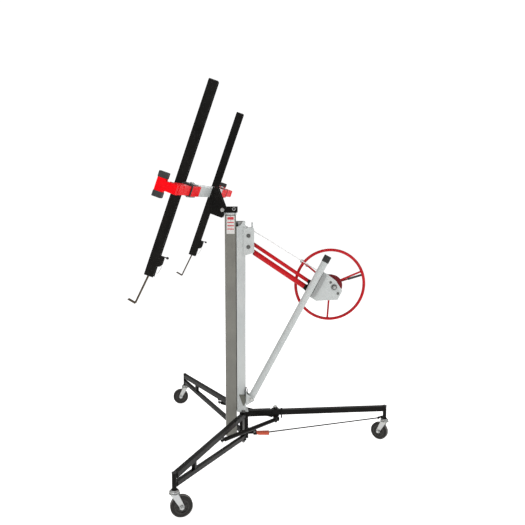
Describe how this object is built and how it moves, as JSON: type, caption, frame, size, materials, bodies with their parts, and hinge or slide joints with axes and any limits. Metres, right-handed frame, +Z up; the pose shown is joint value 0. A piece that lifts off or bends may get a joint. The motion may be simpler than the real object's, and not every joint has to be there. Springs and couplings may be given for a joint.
{
  "type": "drywall lift",
  "caption": "Free-standing panel lift: folding tripod on swivel casters, telescoping mast with winch boom and handwheel, and a tilting board cradle with outriggers.",
  "frame": {"origin": "on the floor, at the centre of the lift's bounding box; the mast stands at X -0.149 m, Y -0.027 m", "axes": "+Z up; +X from the mast towards the winch and the fixed rear leg; +Y towards the left folding leg and the far arm"},
  "size_m": [1.4225, 1.7538, 1.9362],
  "materials": {
    "black_steel": "satin",
    "light_grey_paint": "satin",
    "dark_grey_paint": "satin",
    "red_paint": "gloss",
    "dark_red_paint": "gloss",
    "pedal_paint": "satin",
    "zinc_steel": "zinc plated",
    "wheel_core": "matt",
    "caster_tyre": "matt",
    "black_rubber": "matt",
    "guide_plastic": "smooth",
    "knob_plastic": "smooth"
  },
  "bodies": {
    "base": {"hub_post": "black_steel", "hub_hinge_pins": "zinc_steel", "rear_leg_tube": "black_steel", "rear_leg_sleeve": "black_steel", "fixed_mast": "light_grey_paint", "mast_head": "zinc_steel", "boom_bracket_plates": "light_grey_paint", "boom_bracket_bolts": "zinc_steel", "strut_foot_bracket": "light_grey_paint", "strut_foot_pin": "zinc_steel", "cable_drop": "zinc_steel"},
    "pedal": {"brake_pedal": "pedal_paint"},
    "brake_link": {"brake_rod": "black_steel"},
    "collar": {"slide_collar": "black_steel"},
    "collar_pin": {"collar_lock_pin": "zinc_steel"},
    "left_spreader_bar": {"left_spreader": "black_steel"},
    "right_spreader_bar": {"right_spreader": "black_steel"},
    "left_leg": {"left_leg_top_tube": "black_steel", "left_leg_lower_tube": "black_steel"},
    "right_leg": {"right_leg_top_tube": "black_steel", "right_leg_lower_tube": "black_steel"},
    "left_fork": {"left_caster_fork": "zinc_steel"},
    "right_fork": {"right_caster_fork": "zinc_steel"},
    "rear_fork": {"rear_caster_fork": "zinc_steel"},
    "left_wheel": {"left_caster_wheel": "wheel_core", "left_caster_tyre": "caster_tyre"},
    "right_wheel": {"right_caster_wheel": "wheel_core", "right_caster_tyre": "caster_tyre"},
    "rear_wheel": {"rear_caster_wheel": "wheel_core", "rear_caster_tyre": "caster_tyre"},
    "sheave": {"top_sheave": "wheel_core"},
    "lift_one": {"first_section": "dark_grey_paint", "guide_shoes": "guide_plastic"},
    "lift_two": {"second_section": "dark_grey_paint", "section_top_plate": "light_grey_paint"},
    "boom": {"boom_lower_tube": "red_paint", "boom_upper_tube": "red_paint", "boom_end_plate": "dark_red_paint", "boom_connector": "black_steel", "winch_housing": "light_grey_paint", "cable_run": "zinc_steel"},
    "winch_drum": {"cable_drum": "dark_red_paint", "brake_disc": "dark_red_paint", "handwheel": "red_paint"},
    "spinner": {"wheel_knob": "knob_plastic"},
    "strut": {"strut_tube": "light_grey_paint", "strut_cap": "black_rubber"},
    "swivel": {"saddle": "black_steel", "tilt_pin": "zinc_steel"},
    "latch": {"tilt_latch": "zinc_steel"},
    "cradle": {"tilt_bracket": "black_steel", "crossbar": "light_grey_paint", "near_arm": "black_steel", "far_arm": "black_steel"},
    "near_tee": {"near_outrigger": "red_paint", "near_outrigger_pads": "black_rubber"},
    "far_tee": {"far_outrigger": "red_paint", "far_outrigger_pads": "black_rubber"},
    "near_hook_wire": {"near_hook": "zinc_steel"},
    "far_hook_wire": {"far_hook": "zinc_steel"}
  },
  "joints": [
    {"name": "left_leg_fold", "type": "hinge", "parent": "base", "child": "left_leg", "pos_m": [-0.139, 0.0134, 0.1905], "axis": [0, 0, 1], "range_deg": [-106, 0]},
    {"name": "right_leg_fold", "type": "hinge", "parent": "base", "child": "right_leg", "pos_m": [-0.139, -0.0666, 0.1905], "axis": [0, 0, -1], "range_deg": [-106, 0]},
    {"name": "collar_slide", "type": "slide", "parent": "base", "child": "collar", "axis": [1, 0, 0], "range_m": [0, 0.5115]},
    {"name": "collar_pin_pull", "type": "slide", "parent": "collar", "child": "collar_pin", "axis": [0, 0, 1], "range_m": [0, 0.01], "stiffness_N_per_m": 900},
    {"name": "left_spreader_turn", "type": "hinge", "parent": "collar", "child": "left_spreader_bar", "pos_m": [0.046, -0.0006, 0.155], "axis": [0, 0, 1], "range_deg": [0, 32.5]},
    {"name": "right_spreader_turn", "type": "hinge", "parent": "collar", "child": "right_spreader_bar", "pos_m": [0.046, -0.0526, 0.155], "axis": [0, 0, -1], "range_deg": [0, 32.5]},
    {"name": "brake_pedal_press", "type": "hinge", "parent": "base", "child": "pedal", "pos_m": [-0.075, -0.0266, 0.084], "axis": [0, 1, 0], "range_deg": [0, 12], "stiffness_Nm_per_rad": 12},
    {"name": "brake_rod_pull", "type": "slide", "parent": "base", "child": "brake_link", "axis": [-0.9949, 0.0124, -0.1003], "range_m": [0, 0.0049]},
    {"name": "left_caster_swivel", "type": "hinge", "parent": "left_leg", "child": "left_fork", "pos_m": [-0.4897, 0.73243, 0.128], "axis": [0, 0, 1], "continuous": true},
    {"name": "left_wheel_spin", "type": "hinge", "parent": "left_fork", "child": "left_wheel", "pos_m": [-0.51966, 0.73086, 0.05], "axis": [0.0523, -0.9986, 0], "continuous": true},
    {"name": "right_caster_swivel", "type": "hinge", "parent": "right_leg", "child": "right_fork", "pos_m": [-0.4897, -0.78563, 0.128], "axis": [0, 0, 1], "continuous": true},
    {"name": "right_wheel_spin", "type": "hinge", "parent": "right_fork", "child": "right_wheel", "pos_m": [-0.46015, -0.78043, 0.05], "axis": [-0.1736, 0.9848, 0], "continuous": true},
    {"name": "rear_caster_swivel", "type": "hinge", "parent": "base", "child": "rear_fork", "pos_m": [0.686, -0.0266, 0.128], "axis": [0, 0, 1], "continuous": true},
    {"name": "rear_wheel_spin", "type": "hinge", "parent": "rear_fork", "child": "rear_wheel", "pos_m": [0.66302, -0.00732, 0.05], "axis": [-0.6428, -0.766, 0], "continuous": true},
    {"name": "section1_slide", "type": "slide", "parent": "base", "child": "lift_one", "axis": [0, 0, 1], "range_m": [0, 0.9], "deforming": ["cable_drop"]},
    {"name": "section2_slide", "type": "slide", "parent": "lift_one", "child": "lift_two", "axis": [0, 0, 1], "range_m": [0, 0.9]},
    {"name": "sheave_spin", "type": "hinge", "parent": "base", "child": "sheave", "pos_m": [-0.151, -0.0266, 1.248], "axis": [0, 1, 0], "range_deg": [0, 2800]},
    {"name": "boom_fold", "type": "hinge", "parent": "base", "child": "boom", "pos_m": [-0.109, -0.0266, 1.138], "axis": [0, 1, 0], "range_deg": [0, 46]},
    {"name": "handwheel_spin", "type": "hinge", "parent": "boom", "child": "winch_drum", "pos_m": [0.372, -0.0266, 0.908], "axis": [0, 1, 0], "range_deg": [0, 1750]},
    {"name": "spinner_turn", "type": "hinge", "parent": "winch_drum", "child": "spinner", "pos_m": [0.21879, 0.0934, 1.03656], "axis": [0, 1, 0], "continuous": true},
    {"name": "strut_fold", "type": "hinge", "parent": "base", "child": "strut", "pos_m": [-0.097, -0.0786, 0.293], "axis": [0, -1, 0], "range_deg": [0, 18.2]},
    {"name": "cradle_swivel", "type": "hinge", "parent": "lift_two", "child": "swivel", "pos_m": [-0.205, -0.0266, 1.34], "axis": [0, 0, 1], "range_deg": [-80.16, 99.84]},
    {"name": "tilt_latch_pull", "type": "slide", "parent": "swivel", "child": "latch", "axis": [-0.1709, -0.9853, 0], "range_m": [0, 0.012], "stiffness_N_per_m": 900},
    {"name": "cradle_tilt", "type": "hinge", "parent": "swivel", "child": "cradle", "pos_m": [-0.24244, -0.02011, 1.34], "axis": [0.1709, 0.9853, 0], "range_deg": [0, 70.5]},
    {"name": "near_outrigger_slide", "type": "slide", "parent": "cradle", "child": "near_tee", "axis": [-0.1709, -0.9853, 0], "range_m": [-0.24, 0]},
    {"name": "far_outrigger_slide", "type": "slide", "parent": "cradle", "child": "far_tee", "axis": [0.1709, 0.9853, 0], "range_m": [-0.24, 0]},
    {"name": "near_hook_fold", "type": "hinge", "parent": "cradle", "child": "near_hook_wire", "pos_m": [-0.60407, -0.4953, 1.05445], "axis": [0.1709, 0.9853, 0], "range_deg": [-80, 0]},
    {"name": "far_hook_fold", "type": "hinge", "parent": "cradle", "child": "far_hook_wire", "pos_m": [-0.42292, 0.54911, 1.05445], "axis": [0.1709, 0.9853, 0], "range_deg": [-80, 0]}
  ],
  "couplings": [
    {"joint": "right_leg_fold", "follows": "left_leg_fold", "ratio": 1},
    {"joint": "collar_slide", "follows": "left_leg_fold", "m_per_rad": -0.27637},
    {"joint": "left_spreader_turn", "follows": "left_leg_fold", "ratio": -0.30594},
    {"joint": "right_spreader_turn", "follows": "left_leg_fold", "ratio": -0.30594},
    {"joint": "brake_rod_pull", "follows": "brake_pedal_press", "m_per_rad": 0.0229},
    {"joint": "section2_slide", "follows": "section1_slide", "ratio": 1},
    {"joint": "sheave_spin", "follows": "section1_slide", "rad_per_m": 53.191},
    {"joint": "handwheel_spin", "follows": "section1_slide", "rad_per_m": 33.557},
    {"joint": "strut_fold", "follows": "boom_fold", "ratio": 0.394}
  ]
}
